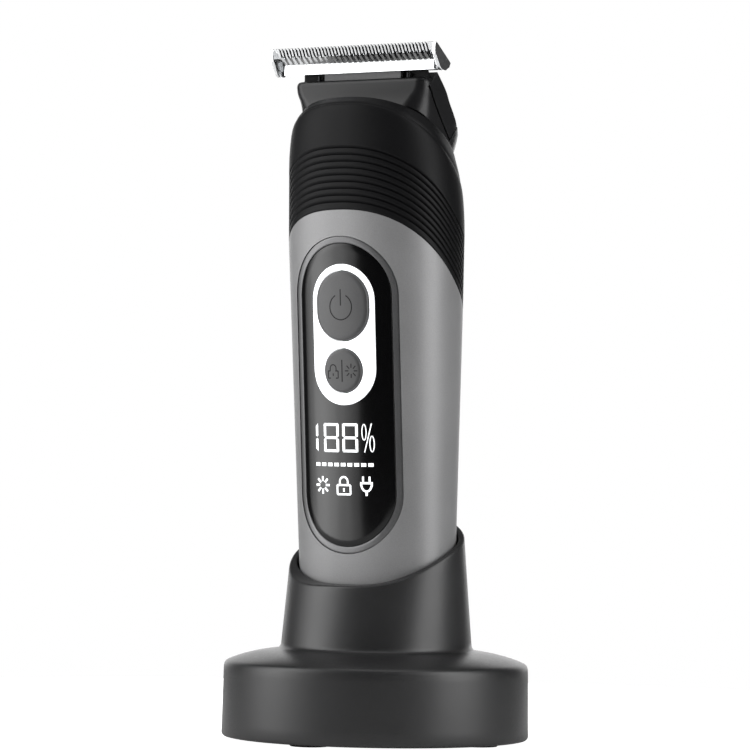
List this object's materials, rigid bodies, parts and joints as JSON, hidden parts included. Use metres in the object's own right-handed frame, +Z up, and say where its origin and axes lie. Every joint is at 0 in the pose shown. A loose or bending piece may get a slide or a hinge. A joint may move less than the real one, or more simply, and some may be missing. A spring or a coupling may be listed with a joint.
{
  "type": "body groomer in charging dock",
  "caption": "Cordless body groomer with a wide T-shaped blade, front display panel and two buttons, standing in a round charging dock.",
  "frame": {"origin": "centre of the dock's footprint, on the plane that its rubber feet rest on", "axes": "+Z up along the groomer, -Y out of the front panel, +X to the right seen from the front"},
  "size_m": [0.0702, 0.0702, 0.1578],
  "materials": {
    "dock_plastic": "satin black moulded plastic",
    "black_plastic": "matte black moulded plastic with fine grooves",
    "handle_paint": "satin metallic grey paint on moulded plastic",
    "gloss_black": "glossy black window",
    "bezel_grey": "satin grey",
    "light_guide": "white translucent",
    "key_grey": "satin grey with engraved symbols",
    "head_plastic": "satin to gloss dark grey",
    "blade_steel": "ground and polished",
    "plated_steel": "nickel plated",
    "ballast_steel": "zinc plated sheet",
    "circuit_board": "solder mask green",
    "gold_contact": "gold plated",
    "rubber_black": "soft matte",
    "white_plastic": "natural acetal",
    "cell_wrap": "shrink wrap"
  },
  "bodies": {
    "dock": {"dock_shell": "dock_plastic", "dock_bottom_plate": "dock_plastic", "dock_rubber_feet": "rubber_black", "dock_screws": "plated_steel", "dock_ballast": "ballast_steel", "dock_circuit_board": "circuit_board", "dock_pin_block": "black_plastic", "dock_usb_socket": "plated_steel"},
    "dock_pins": {"dock_contact_pins": "gold_contact"},
    "groomer": {"handle_sleeve": "handle_paint", "grip_sleeve": "black_plastic", "bottom_cap": "black_plastic", "charge_contacts": "gold_contact", "panel_bezel": "bezel_grey", "display_lens": "gloss_black", "button_surround": "light_guide", "main_circuit_board": "circuit_board", "tactile_switches": "black_plastic", "display_module": "white_plastic", "inner_frame": "black_plastic", "battery_cell": "cell_wrap", "battery_tabs": "plated_steel", "motor_can": "plated_steel", "motor_end_cap": "white_plastic", "motor_screws": "plated_steel", "neck_deck": "black_plastic", "neck_seal": "rubber_black"},
    "power_key": {"power_button": "key_grey"},
    "mode_key": {"mode_button": "key_grey"},
    "rotor": {"motor_shaft": "plated_steel", "eccentric_pin": "white_plastic"},
    "blade_head": {"head_shell": "head_plastic", "blade_holder": "head_plastic", "fixed_blade": "blade_steel", "blade_screws": "plated_steel", "blade_spring": "plated_steel"},
    "cutter": {"moving_blade": "blade_steel", "blade_carrier": "white_plastic"}
  },
  "joints": [
    {"name": "groomer_lift", "type": "slide", "parent": "dock", "child": "groomer", "axis": [0, 0, 1], "range_m": [0, 0.05]},
    {"name": "contact_pins_press", "type": "slide", "parent": "dock", "child": "dock_pins", "axis": [0, 0, -1], "range_m": [0, 0.0008], "stiffness_N_per_m": 800},
    {"name": "power_press", "type": "slide", "parent": "groomer", "child": "power_key", "axis": [0, 0.9971, 0.0761], "range_m": [0, 0.0006], "stiffness_N_per_m": 1500},
    {"name": "mode_press", "type": "slide", "parent": "groomer", "child": "mode_key", "axis": [0, 0.9971, 0.0761], "range_m": [0, 0.0006], "stiffness_N_per_m": 1500},
    {"name": "motor_spin", "type": "hinge", "parent": "groomer", "child": "rotor", "pos_m": [0, -0.001, 0.11], "axis": [0, 0, 1], "continuous": true},
    {"name": "head_pull", "type": "slide", "parent": "groomer", "child": "blade_head", "axis": [0, 0, 1], "range_m": [0, 0.024]},
    {"name": "cutter_stroke", "type": "slide", "parent": "blade_head", "child": "cutter", "axis": [1, 0, 0], "range_m": [-0.001, 0.001]}
  ]
}
